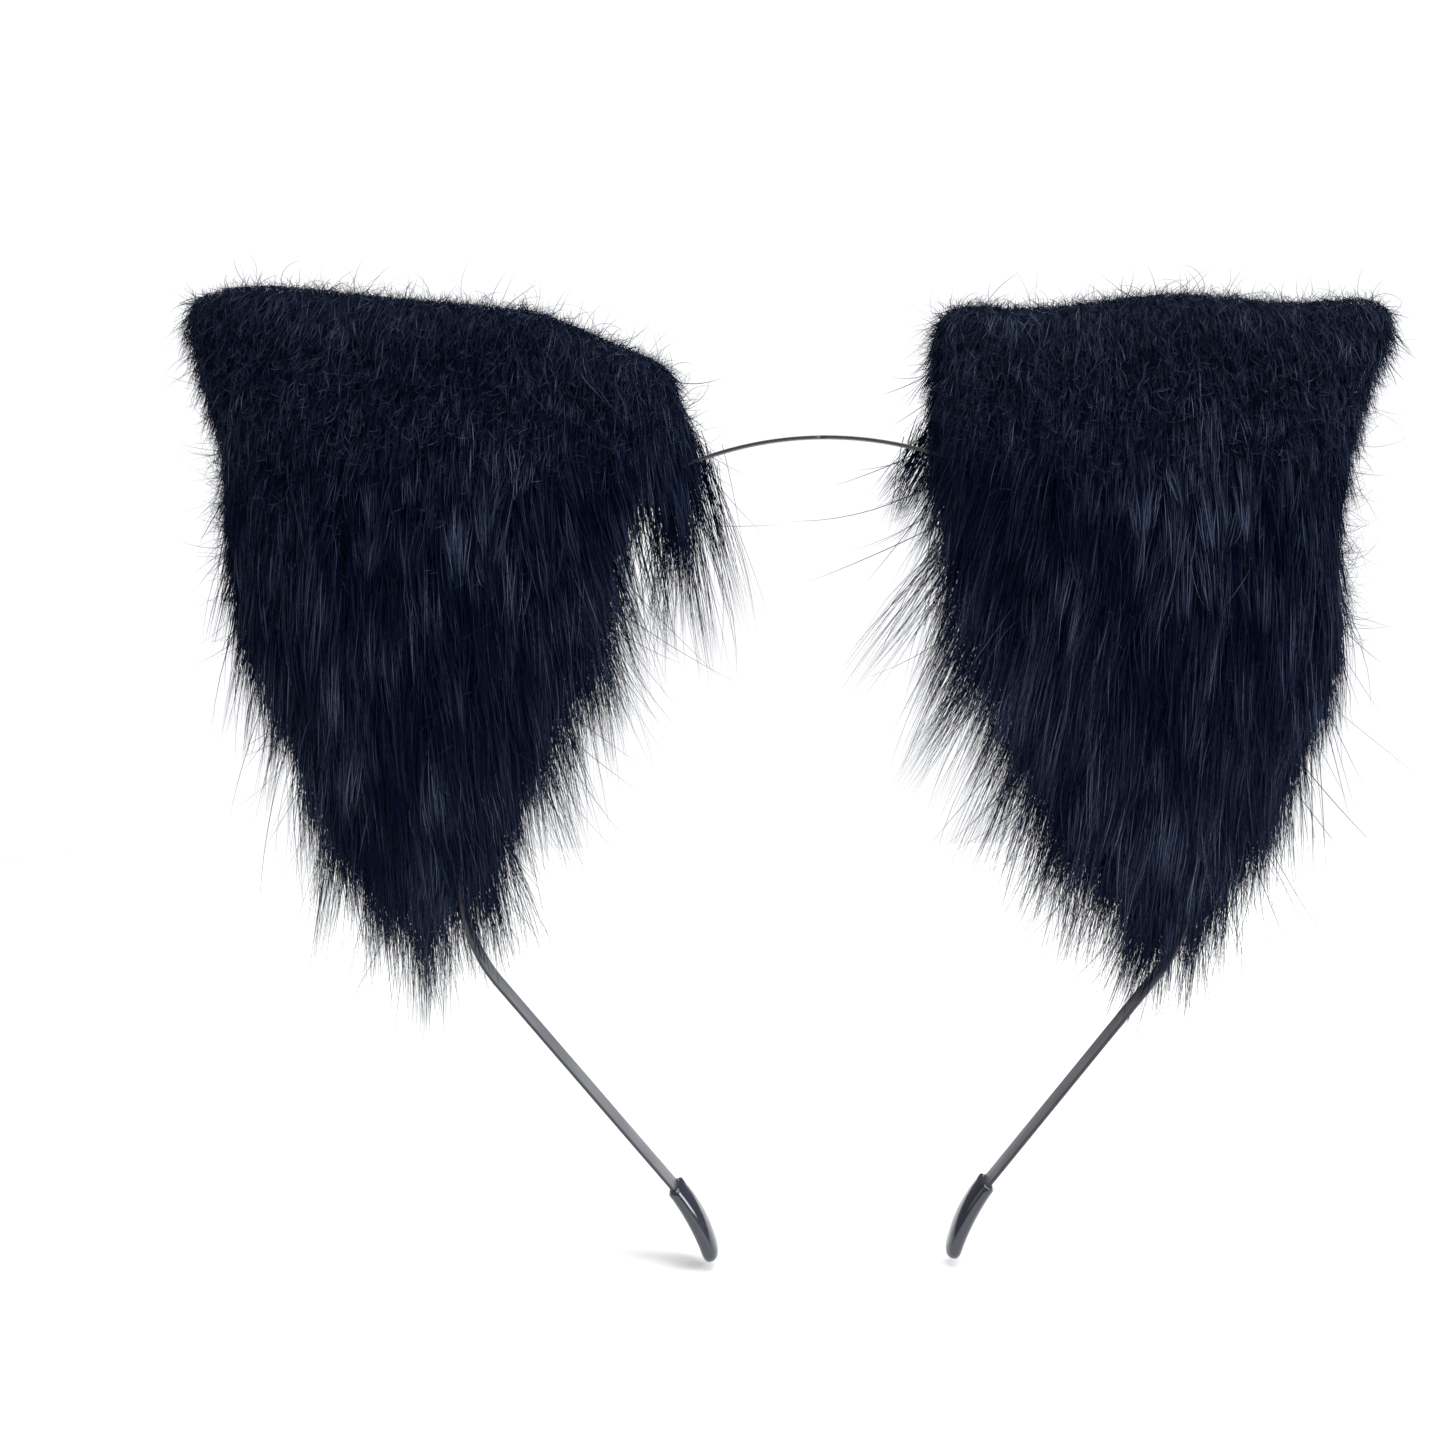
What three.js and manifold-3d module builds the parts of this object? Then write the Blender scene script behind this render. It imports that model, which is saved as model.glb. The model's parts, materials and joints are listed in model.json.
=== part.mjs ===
// Animal ears headband: a springy flat steel strip bent into a headband, with one fur ear sewn to each side.
// Millimetres, +Z up as worn, +X to the wearer's left, the wearer's face towards -Y.
// The origin is on the inner face of the strip at the top of the head.
import * as THREE from 'three';
import { mergeVertices } from 'three/addons/utils/BufferGeometryUtils.js';
import Module from 'manifold-3d';

const wasm = await Module();
wasm.setup();

// ---- driving dimensions -------------------------------------------------------------------------
const GAP = 0.3;                    // clearance between pieces that touch

const strip = { width: 5, thickness: 0.6 };
const crownRadius = 66;             // to the strip's inner face
const sideStraight = 14;            // upright stretch below the crown arc
const templeRadius = 28;
const templeTurn = THREE.MathUtils.degToRad(40);
const legLength = 48.5;
const toeRadius = 34;
const toeTurn = THREE.MathUtils.degToRad(23);
const flexAt = 22;                  // along the strip from the top to where each side starts to flex
const crownFacets = 11;             // odd, so that one flat facet lies across the top

const cap = { edgeWall: 0.7, faceWall: 1.1, endWall: 1.4, overlap: 13.2 };

const earStart = 25;                // along the strip, where the ear's base begins and ends
const earEnd = 120;
const sleeveWall = 1;               // felt sleeve sewn round the strip
const foldOffset = 9;               // from the strip's outermost point to the line the ear bends along
const tabHalfThickness = 2.5;       // base tab and felt core, each side of the middle

const ear = { foldTop: 62, foldBottom: -45.5, reach: 64, tipRise: 28, tipRadius: 6, topBow: 3, sideBow: 6 };
const feltInset = 3;
const seamInset = 1;
const wire = { diameter: 1.2, inset: 9, footHeight: 14 };
const seamDiameter = 1;
const furDepth = 12;                // each side, from the middle of the ear to the outside of the pile
const furRounding = 1.5;
const tiltLimit = THREE.MathUtils.degToRad(20);

const skirtInside = 6;              // how far the base pelt reaches inside the strip
const skirtRise = 24;               // inner top corner above the strip's first sleeve point
const skirtDrop = 13;               // lowest point below the strip's last sleeve point
const stitchPlaces = [36, 60, 84, 108];
const thread = { width: 0.8, thickness: 0.6 };
const stitchReach = 5;              // from the middle of the strip out to the needle hole in the tab

// ---- the strip's route --------------------------------------------------------------------------
const midRadius = crownRadius + strip.thickness / 2;
const crownArc = midRadius * Math.PI / 2;
const facetAngle = 2 * flexAt / midRadius / crownFacets;
// the facet across the top lies a little inside its arc, and its inner face is at Z = 0
const crownCentreZ = -crownRadius * Math.cos(facetAngle / 2);

// Each stretch has a length and how far it turns. Positive turns towards the head.
const stretches = [
  { length: crownArc, turn: Math.PI / 2 },
  { length: sideStraight, turn: 0 },
  { length: templeRadius * templeTurn, turn: templeTurn },
  { length: legLength, turn: 0 },
  { length: toeRadius * toeTurn, turn: -toeTurn },
];
const stripHalfLength = stretches.reduce((sum, stretch) => sum + stretch.length, 0);

// Place and heading on the strip's middle line, at a distance along it from the top.
function onStrip(distance) {
  let heading = 0;
  let x = 0;
  let z = crownCentreZ + midRadius;
  let left = distance;
  for (const [index, stretch] of stretches.entries()) {
    const last = index === stretches.length - 1;
    const run = last ? left : Math.min(left, stretch.length);
    const turn = stretch.turn * run / stretch.length;
    if (turn === 0) {
      x += run * Math.cos(heading);
      z -= run * Math.sin(heading);
    } else {
      const radius = run / turn;
      x += radius * (Math.sin(heading + turn) - Math.sin(heading));
      z += radius * (Math.cos(heading + turn) - Math.cos(heading));
    }
    heading += turn;
    left -= run;
    if (left <= 0) break;
  }
  return { x, z, heading };
}

// A point beside the strip: out is positive away from the head.
function besideStrip(distance, out) {
  const { x, z, heading } = onStrip(distance);
  return new THREE.Vector2(x + out * Math.sin(heading), z + out * Math.cos(heading));
}

class StripRoute extends THREE.Curve {
  constructor(from, to) {
    super();
    this.from = from;
    this.to = to;
  }

  getPointAt(share, target = new THREE.Vector3()) {
    const distance = THREE.MathUtils.lerp(this.from, this.to, share);
    const { x, z } = onStrip(Math.abs(distance));
    return target.set(distance < 0 ? -x : x, 0, z);
  }

  getTangentAt(share, target = new THREE.Vector3()) {
    const distance = THREE.MathUtils.lerp(this.from, this.to, share);
    const { heading } = onStrip(Math.abs(distance));
    return target.set(Math.cos(heading), 0, distance < 0 ? Math.sin(heading) : -Math.sin(heading));
  }
}

// ---- shared shapes ------------------------------------------------------------------------------
function rectangle(width, height, into = new THREE.Shape()) {
  into.moveTo(-width / 2, -height / 2);
  into.lineTo(width / 2, -height / 2);
  into.lineTo(width / 2, height / 2);
  into.lineTo(-width / 2, height / 2);
  into.closePath();
  return into;
}

function circle(diameter) {
  return new THREE.Shape().absarc(0, 0, diameter / 2, 0, 2 * Math.PI, false);
}

// Section drawn with its width across the strip (Y) and its height through the strip.
function alongStrip(section, from, to, steps) {
  const extrudePath = new StripRoute(from, to);
  return new THREE.ExtrudeGeometry(section, { steps, extrudePath, curveSegments: 6, bevelEnabled: false });
}

// A flat outline in X and Z, given thickness from nearY to farY.
function plate(name, outline, nearY, farY, material, holes = [], bevel = 0) {
  const shape = new THREE.Shape(outline);
  shape.holes.push(...holes.map((points) => new THREE.Path(points)));
  const geometry = new THREE.ExtrudeGeometry(shape, {
    depth: farY - nearY - 2 * bevel,
    steps: 1,
    bevelEnabled: bevel > 0,
    bevelThickness: bevel,
    bevelSize: bevel,
    bevelOffset: -bevel,
    bevelSegments: 2,
  });
  const mesh = named(name, geometry, material);
  mesh.rotation.x = Math.PI / 2;
  mesh.position.y = farY - bevel;
  return mesh;
}

function tube(points, diameter, steps) {
  const extrudePath = new THREE.CatmullRomCurve3(points);
  return new THREE.ExtrudeGeometry(circle(diameter), { steps, extrudePath, curveSegments: 4 });
}

function named(name, geometry, material) {
  const mesh = new THREE.Mesh(geometry, material);
  mesh.name = name;
  return mesh;
}

function toSolid(geometry) {
  const bare = new THREE.BufferGeometry();
  bare.setAttribute('position', geometry.getAttribute('position'));
  bare.setIndex(geometry.getIndex());
  const merged = mergeVertices(bare, 1e-4);
  return new wasm.Manifold(new wasm.Mesh({
    numProp: 3,
    vertProperties: new Float32Array(merged.getAttribute('position').array),
    triVerts: new Uint32Array(merged.getIndex().array),
  }));
}

function toGeometry(solid) {
  const { vertProperties, triVerts } = solid.getMesh();
  const geometry = new THREE.BufferGeometry();
  geometry.setAttribute('position', new THREE.BufferAttribute(vertProperties, 3));
  geometry.setIndex(new THREE.BufferAttribute(triVerts, 1));
  geometry.computeVertexNormals();
  return geometry;
}

const finish = (color, roughness, metalness = 0) =>
  new THREE.MeshStandardMaterial({ color, roughness, metalness });
const paintedSteel = finish(0x5c5d63, 0.4, 0.6);
const vinyl = finish(0x23262c, 0.22);
const fur = finish(0x0e1218, 0.9);
const felt = finish(0x15171b, 0.95);
const steelWire = finish(0x8a8c90, 0.35, 0.9);
const threadCotton = finish(0x111317, 0.8);

// ---- strip, caps and sleeve ---------------------------------------------------------------------
function bandCrown() {
  return named('band_crown', alongStrip(rectangle(strip.width, strip.thickness),
    -flexAt, flexAt, crownFacets), paintedSteel);
}

function bandSide(side) {
  return named(`band_${side}`, alongStrip(rectangle(strip.width, strip.thickness),
    flexAt + GAP, stripHalfLength, 56), paintedSteel);
}

// Soft vinyl cap: an oval sleeve with a domed end and a pocket that holds the strip's end.
function tipCap(side) {
  const halfWidth = strip.width / 2 + GAP + cap.edgeWall;
  const halfThickness = strip.thickness / 2 + GAP + cap.faceWall;
  const oval = new THREE.Shape().absellipse(0, 0, halfWidth, halfThickness, 0, 2 * Math.PI, false, 0);
  const from = stripHalfLength - cap.overlap;
  const to = stripHalfLength + GAP;
  const body = toSolid(alongStrip(oval, from, to, 8));
  const end = onStrip(to);
  const dome = new THREE.SphereGeometry(1, 16, 8);
  dome.scale(halfThickness, halfWidth, cap.endWall);
  dome.rotateY(end.heading - Math.PI / 2);
  dome.translate(end.x, 0, end.z);
  const pocket = rectangle(strip.width + 2 * GAP, strip.thickness + 2 * GAP);
  const hollow = toSolid(alongStrip(pocket, from - 1, to, 9));
  return named(`tip_cap_${side}`, toGeometry(body.add(toSolid(dome)).subtract(hollow)), vinyl);
}

const sleeveWidth = strip.width + 2 * (GAP + sleeveWall);
const sleeveThickness = strip.thickness + 2 * (GAP + sleeveWall);

function baseSleeve(side) {
  const section = rectangle(sleeveWidth, sleeveThickness);
  section.holes.push(rectangle(strip.width + 2 * GAP, strip.thickness + 2 * GAP, new THREE.Path()));
  return named(`base_sleeve_${side}`, alongStrip(section, earStart, earEnd, 32), felt);
}

// ---- the line that the ear bends along ----------------------------------------------------------
const baseTop = besideStrip(earStart, 0);
const baseBottom = besideStrip(earEnd, 0);
const foldUp = baseTop.clone().sub(baseBottom).normalize();
const foldOut = new THREE.Vector2(foldUp.y, -foldUp.x);
const baseMiddle = baseTop.clone().add(baseBottom).multiplyScalar(0.5);
const bulge = Math.max(...Array.from({ length: 49 }, (_, i) => {
  const distance = THREE.MathUtils.lerp(earStart, earEnd, i / 48);
  return besideStrip(distance, 0).sub(baseMiddle).dot(foldOut);
}));
const foldMiddle = baseMiddle.clone().addScaledVector(foldOut, bulge + foldOffset);

// out is the distance from the fold line away from the head, up is along the line from its middle
function byFold(out, up) {
  return foldMiddle.clone().addScaledVector(foldOut, out).addScaledVector(foldUp, up);
}

function upAlongFold(point) {
  return point.clone().sub(foldMiddle).dot(foldUp);
}

// The pieces on each side of the line stand back from it by what they need to tilt past each other.
const coreSetback = (tabHalfThickness * Math.sin(tiltLimit) + GAP) / 2;
const furSetback = (furDepth * Math.sin(tiltLimit) + GAP) / 2;

// ---- pieces that stay on the strip's side -------------------------------------------------------
const alongBase = (count, out, from = earStart, to = earEnd) =>
  Array.from({ length: count + 1 }, (_, i) => besideStrip(THREE.MathUtils.lerp(from, to, i / count), out));

function baseTab(side) {
  const inner = alongBase(32, sleeveThickness / 2 + GAP);
  const outer = [
    byFold(-coreSetback, upAlongFold(inner.at(-1))),
    byFold(-coreSetback, upAlongFold(inner[0])),
  ];
  const holes = stitchPlaces.map((place) => {
    const slot = (along, out) => besideStrip(place + along, out);
    const half = thread.width / 2 + GAP;
    const low = stitchReach - GAP;
    const high = stitchReach + thread.thickness + GAP;
    return [slot(-half, low), slot(half, low), slot(half, high), slot(-half, high)];
  });
  return plate(`base_tab_${side}`, [...inner, ...outer], -tabHalfThickness, tabHalfThickness, felt, holes);
}

// A loop of thread round the sleeve, through a needle hole in the tab.
function stitch(side, number, place) {
  const halfWide = sleeveWidth / 2 + GAP;
  const inside = -(sleeveThickness / 2 + GAP);
  const loop = new THREE.Shape([
    new THREE.Vector2(-halfWide - thread.thickness, inside - thread.thickness),
    new THREE.Vector2(halfWide + thread.thickness, inside - thread.thickness),
    new THREE.Vector2(halfWide + thread.thickness, stitchReach + thread.thickness),
    new THREE.Vector2(-halfWide - thread.thickness, stitchReach + thread.thickness),
  ]);
  loop.holes.push(new THREE.Path([
    new THREE.Vector2(-halfWide, inside),
    new THREE.Vector2(halfWide, inside),
    new THREE.Vector2(halfWide, stitchReach),
    new THREE.Vector2(-halfWide, stitchReach),
  ]));
  const geometry = new THREE.ExtrudeGeometry(loop, { depth: thread.width, bevelEnabled: false });
  geometry.translate(0, 0, -thread.width / 2);
  const mesh = named(`stitch_${side}_${number}`, geometry, threadCotton);
  const { x, z, heading } = onStrip(place);
  const across = new THREE.Vector3(0, 1, 0);
  const out = new THREE.Vector3(Math.sin(heading), 0, Math.cos(heading));
  mesh.quaternion.setFromRotationMatrix(new THREE.Matrix4().makeBasis(across, out, across.clone().cross(out)));
  mesh.position.set(x, 0, z);
  return mesh;
}

const stitchOutside = sleeveWidth / 2 + GAP + thread.thickness;

// Pelt that hides the sleeve, from inside the strip out to the fold line.
function skirtOutline() {
  const inner = alongBase(24, -skirtInside);
  const corner = besideStrip(earStart, 0).add(new THREE.Vector2(0, skirtRise));
  const lowest = besideStrip(earEnd, 0).add(new THREE.Vector2(0, -skirtDrop));
  return [...inner, lowest, byFold(-furSetback, ear.foldBottom), byFold(-furSetback, ear.foldTop), corner];
}

function skirts(side) {
  const near = stitchOutside + GAP;
  return [
    plate(`fur_base_front_${side}`, skirtOutline(), -furDepth, -near, fur, [], furRounding),
    plate(`fur_base_back_${side}`, skirtOutline(), near, furDepth, fur, [], furRounding),
  ];
}

// ---- the ear, in its own frame: X outwards from the fold line, Z up along it ----------------------
// Outer edge from the bottom of the fold round the tip to the top, moved in from the fur's edge by inset.
function earEdge(inset, setback) {
  const bottom = new THREE.Vector2(0, ear.foldBottom);
  const top = new THREE.Vector2(0, ear.foldTop);
  const tip = new THREE.Vector2(ear.reach, ear.tipRise);
  const toBottom = bottom.clone().sub(tip).normalize();
  const toTop = top.clone().sub(tip).normalize();
  const bowed = (a, b, bow) => {
    const along = b.clone().sub(a).normalize();
    return a.clone().add(b).multiplyScalar(0.5).add(new THREE.Vector2(along.y, -along.x).multiplyScalar(2 * bow));
  };
  const tipIn = tip.clone().addScaledVector(toBottom, ear.tipRadius);
  const tipOut = tip.clone().addScaledVector(toTop, ear.tipRadius);
  const edge = [
    ...new THREE.QuadraticBezierCurve(bottom, bowed(bottom, tipIn, ear.sideBow), tipIn).getPoints(18),
    ...new THREE.QuadraticBezierCurve(tipIn, tip, tipOut).getPoints(5).slice(1),
    ...new THREE.QuadraticBezierCurve(tipOut, bowed(tipOut, top, ear.topBow), top).getPoints(14).slice(1),
  ];
  const moved = edge.map((point, i) => {
    const along = edge[Math.min(i + 1, edge.length - 1)].clone().sub(edge[Math.max(i - 1, 0)]).normalize();
    return point.clone().add(new THREE.Vector2(-along.y, along.x).multiplyScalar(inset));
  });
  // cut off at the setback, at the place where the moved edge crosses it
  const first = moved.findIndex((point) => point.x > setback);
  const last = moved.findLastIndex((point) => point.x > setback);
  const crossing = (inner, outer) => inner.clone().lerp(outer, (setback - inner.x) / (outer.x - inner.x));
  const start = first > 0 ? crossing(moved[first - 1], moved[first]) : new THREE.Vector2(setback, moved[0].y);
  const end = crossing(moved[last + 1] ?? new THREE.Vector2(0, moved[last].y), moved[last]);
  const kept = moved.slice(first, last + 1);
  // the two sharp corners have no points near them, so that the panels can be rounded there
  const clear = 3 * furRounding;
  const farEnough = (point) => point.distanceTo(start) > clear && point.distanceTo(end) > clear;
  return [start, ...kept.filter(farEnough), end];
}

function earPieces(side) {
  const half = wire.diameter / 2 + GAP;
  const furNear = tabHalfThickness + GAP;
  const felts = [
    plate(`felt_front_${side}`, earEdge(feltInset, coreSetback), -tabHalfThickness, -half, felt),
    plate(`felt_back_${side}`, earEdge(feltInset, coreSetback), half, tabHalfThickness, felt),
  ];
  const furs = [
    plate(`fur_front_${side}`, earEdge(0, furSetback), -furDepth, -furNear, fur, [], furRounding),
    plate(`fur_back_${side}`, earEdge(0, furSetback), furNear, furDepth, fur, [], furRounding),
  ];
  const upright = (points) => points.map(({ x, y }) => new THREE.Vector3(x, 0, y));
  const frame = earEdge(wire.inset, coreSetback + wire.diameter).filter((point) =>
    point.y > ear.foldBottom + wire.footHeight);
  const seamEdge = earEdge(seamInset, furSetback).slice(1, -1);
  return [
    ...felts,
    ...furs,
    named(`ear_wire_${side}`, tube(upright(frame), wire.diameter, 44), steelWire),
    named(`edge_seam_${side}`, tube(upright(seamEdge), seamDiameter, 44), threadCotton),
  ];
}

// ---- assembly -----------------------------------------------------------------------------------
// One side of the headband, drawn for +X.
function sideOfBand(side) {
  const whole = new THREE.Group();
  whole.add(bandSide(side), tipCap(side), baseSleeve(side), baseTab(side), ...skirts(side));
  whole.add(...stitchPlaces.map((place, i) => stitch(side, i + 1, place)));
  const tilting = new THREE.Group();
  tilting.position.set(foldMiddle.x, 0, foldMiddle.y);
  tilting.rotation.y = -Math.atan2(foldOut.y, foldOut.x);
  tilting.add(...earPieces(side));
  whole.add(tilting);
  return whole;
}

const group = new THREE.Group();
const leftSide = sideOfBand('left');
const rightSide = sideOfBand('right');
rightSide.scale.x = -1;
group.add(bandCrown(), leftSide, rightSide);

export default group;
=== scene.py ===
"""Animal ears headband: a flat steel strip with vinyl tip caps and two long-haired fur ears.

Lengths are millimetres where nothing else is said, and every mesh is written in metres. The left side
is +X.
"""
import json
import math

import bpy
import numpy as np
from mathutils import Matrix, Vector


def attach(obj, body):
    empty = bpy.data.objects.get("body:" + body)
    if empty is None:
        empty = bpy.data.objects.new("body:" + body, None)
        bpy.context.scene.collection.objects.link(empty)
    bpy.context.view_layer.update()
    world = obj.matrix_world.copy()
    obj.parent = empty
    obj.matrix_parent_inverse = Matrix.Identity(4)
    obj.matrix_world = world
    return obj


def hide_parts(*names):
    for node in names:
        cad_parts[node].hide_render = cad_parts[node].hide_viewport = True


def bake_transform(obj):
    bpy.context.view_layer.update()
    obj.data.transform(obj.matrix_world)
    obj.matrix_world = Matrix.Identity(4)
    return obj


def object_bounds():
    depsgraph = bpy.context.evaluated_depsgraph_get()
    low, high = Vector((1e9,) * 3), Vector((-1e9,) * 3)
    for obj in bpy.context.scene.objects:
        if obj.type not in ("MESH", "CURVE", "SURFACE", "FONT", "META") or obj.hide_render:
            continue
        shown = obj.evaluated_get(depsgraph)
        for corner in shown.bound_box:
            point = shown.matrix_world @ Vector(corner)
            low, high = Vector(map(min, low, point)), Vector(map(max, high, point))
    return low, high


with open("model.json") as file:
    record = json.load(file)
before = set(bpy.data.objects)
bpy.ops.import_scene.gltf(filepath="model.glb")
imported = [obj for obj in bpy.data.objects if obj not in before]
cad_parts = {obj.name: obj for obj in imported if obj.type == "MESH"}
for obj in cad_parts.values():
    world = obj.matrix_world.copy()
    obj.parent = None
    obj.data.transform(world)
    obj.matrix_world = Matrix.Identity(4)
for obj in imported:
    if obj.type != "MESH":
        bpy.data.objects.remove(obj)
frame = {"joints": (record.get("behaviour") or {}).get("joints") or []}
cad_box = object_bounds()

MM = 0.001
SIDES = {"left": 1.0, "right": -1.0}
JOINTS = {joint["name"]: joint for joint in frame["joints"]}

# ---- the strip, as it is bent ---------------------------------------------------------------------
STRIP_WIDTH = 5.0
STRIP_THICKNESS = 0.6
STRIP_CORNER = 0.18
CROWN_RADIUS = 66.3
# each stretch: its length and how far it turns towards the head, in degrees
STRETCHES = (
    (CROWN_RADIUS * math.pi / 2, 90.0),
    (14.0, 0.0),
    (28.0 * math.radians(40), 40.0),
    (48.5, 0.0),
    (34.0 * math.radians(23), -23.0),
)
STRIP_HALF = sum(length for length, turn in STRETCHES)
STRIP_STEP = 1.4

# ---- the ears -------------------------------------------------------------------------------------
PELT_HALF_DEPTH = 8.5
PELT_EDGE_POWER = 2.6
PELT_FACE_POWER = 2.0
PELT_CENTRE = np.array([70.0, -16.0])
PELT_NODES = ("fur_front", "fur_back", "fur_base_front", "fur_base_back")

# The pelt's outline in X and Z, measured outwards from the middle of the head, from the inner top
# corner over the tip and down round the lowest point. The two ears are cut a little differently.
OUTLINES = {
    "left": (
        (23.2, 22.7), (40.5, 23.4), (64.5, 25.5), (84.5, 23.8), (99.5, 24.1), (103.6, 19.8), (99.9, 10),
        (96.1, -1), (93.0, -12), (93.1, -21), (92.6, -32), (88.0, -44), (82.3, -56), (74.6, -68.5),
        (68, -77.5), (62, -79.5), (56, -74), (49.5, -62), (42.2, -50), (38.8, -38.6), (34.2, -26.7),
        (28.4, -13.8), (21.8, -3), (20.8, 9),
    ),
    "right": (
        (28.4, 13.6), (38.4, 18.3), (46.5, 22.0), (54.5, 24.3), (76.6, 26.7), (98.6, 29.2), (110, 28.1),
        (114, 23.8), (111, 10), (108.2, 0), (107.2, -14), (104.4, -26), (98.4, -38), (91.8, -51),
        (86, -60.5), (80.3, -68), (75.5, -72.5), (71.5, -75), (67, -69.5), (61.5, -60), (55.2, -49),
        (50.5, -37), (44.8, -25), (40.5, -13.5), (32.5, -6), (23.6, -1.5), (25.6, 6.5),
    ),
}


def on_strip(distance):
    """Place (x, z) and heading on the strip's middle line at each distance from the top: the heading
    turns evenly within each stretch, and the place is the running sum of its cosine and sine."""
    ends = np.cumsum([0.0] + [length for length, turn in STRETCHES])
    turns = np.radians(np.cumsum([0.0] + [turn for length, turn in STRETCHES]))
    fine = np.linspace(0, STRIP_HALF, 8001)
    heading = np.interp(fine, ends, turns)
    step = fine[1] - fine[0]
    middle = (heading[1:] + heading[:-1]) / 2
    x = np.concatenate(([0.0], np.cumsum(np.cos(middle)) * step))
    z = np.concatenate(([0.0], -np.cumsum(np.sin(middle)) * step)) + STRIP_THICKNESS / 2
    beyond = np.maximum(distance - STRIP_HALF, 0.0)
    turned = np.interp(distance, fine, heading)
    place = np.stack([
        np.interp(distance, fine, x) + beyond * np.cos(turned),
        np.interp(distance, fine, z) - beyond * np.sin(turned),
    ], axis=-1)
    return place, turned


def rings_on_strip(side, distance, section):
    """Rings of a section carried along the strip: section[i, k] holds how far point k of ring i lies
    out from the head and across the strip (Y)."""
    place, heading = on_strip(distance)
    out = np.stack([np.sin(heading), np.cos(heading)], axis=-1)
    xz = place[:, None, :] + section[..., :1] * out[:, None, :]
    return np.stack([SIDES[side] * xz[..., 0], section[..., 1], xz[..., 1]], axis=-1)


def new_mesh(name, points, faces):
    """A mesh object from points in millimetres and a list of face arrays, each (count, corners)."""
    mesh = bpy.data.meshes.new(name)
    loops = np.concatenate([face.ravel() for face in faces])
    totals = np.concatenate([np.full(len(face), face.shape[1]) for face in faces])
    starts = np.concatenate(([0], np.cumsum(totals)[:-1]))
    mesh.vertices.add(len(points))
    mesh.vertices.foreach_set("co", (points * MM).astype(np.float32).ravel())
    mesh.loops.add(len(loops))
    mesh.loops.foreach_set("vertex_index", loops.astype(np.int32))
    mesh.polygons.add(len(totals))
    mesh.polygons.foreach_set("loop_start", starts.astype(np.int32))
    mesh.polygons.foreach_set("use_smooth", np.ones(len(totals), dtype=bool))
    mesh.update(calc_edges=True)
    mesh.validate()
    piece = bpy.data.objects.new(name, mesh)
    bpy.context.scene.collection.objects.link(piece)
    return piece


def lofted(name, rings):
    """A closed tube through rings[i, k]: quads between neighbours, and each end a fan to its middle.
    Rings that run round the other way, as on a mirrored side, are turned first."""
    count, around = rings.shape[:2]
    points = np.concatenate([rings.reshape(-1, 3), rings[:1].mean(axis=1), rings[-1:].mean(axis=1)])
    ring, k = np.meshgrid(np.arange(count - 1), np.arange(around), indexing="ij")
    a = ring * around + k
    b = ring * around + (k + 1) % around
    quads = np.stack([a, b, b + around, a + around], axis=-1).reshape(-1, 4)
    k = np.arange(around)
    first = np.stack([np.full(around, count * around), (k + 1) % around, k], axis=-1)
    last = (count - 1) * around
    second = np.stack([np.full(around, count * around + 1), last + k, last + (k + 1) % around], axis=-1)
    piece = new_mesh(name, points, [quads, first, second])
    face_out(piece)
    return piece


def face_out(piece):
    """Turns every face outwards."""
    bpy.context.view_layer.objects.active = piece
    bpy.ops.object.select_all(action="DESELECT")
    piece.select_set(True)
    bpy.ops.object.mode_set(mode="EDIT")
    bpy.ops.mesh.select_all(action="SELECT")
    bpy.ops.mesh.normals_make_consistent(inside=False)
    bpy.ops.object.mode_set(mode="OBJECT")


# ---- materials ------------------------------------------------------------------------------------
class Value:
    """Wraps a socket, so that an expression on values adds its Math nodes."""

    def __init__(self, maker, socket):
        self.maker = maker
        self.socket = socket

    def math(self, operation, *others):
        values = dict(enumerate((self, *others)))
        return self.maker.node("ShaderNodeMath", {"operation": operation}, values)[0]

    def __add__(self, other):
        return self.math("ADD", other)

    def __mul__(self, other):
        return self.math("MULTIPLY", other)

    def __pow__(self, other):
        return self.math("POWER", other)

    def band(self, low, high):
        """0 below low, 1 above high, smooth between them."""
        settings = {"interpolation_type": "SMOOTHSTEP"}
        return self.maker.node("ShaderNodeMapRange", settings, {0: self, 1: low, 2: high})[0]


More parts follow.
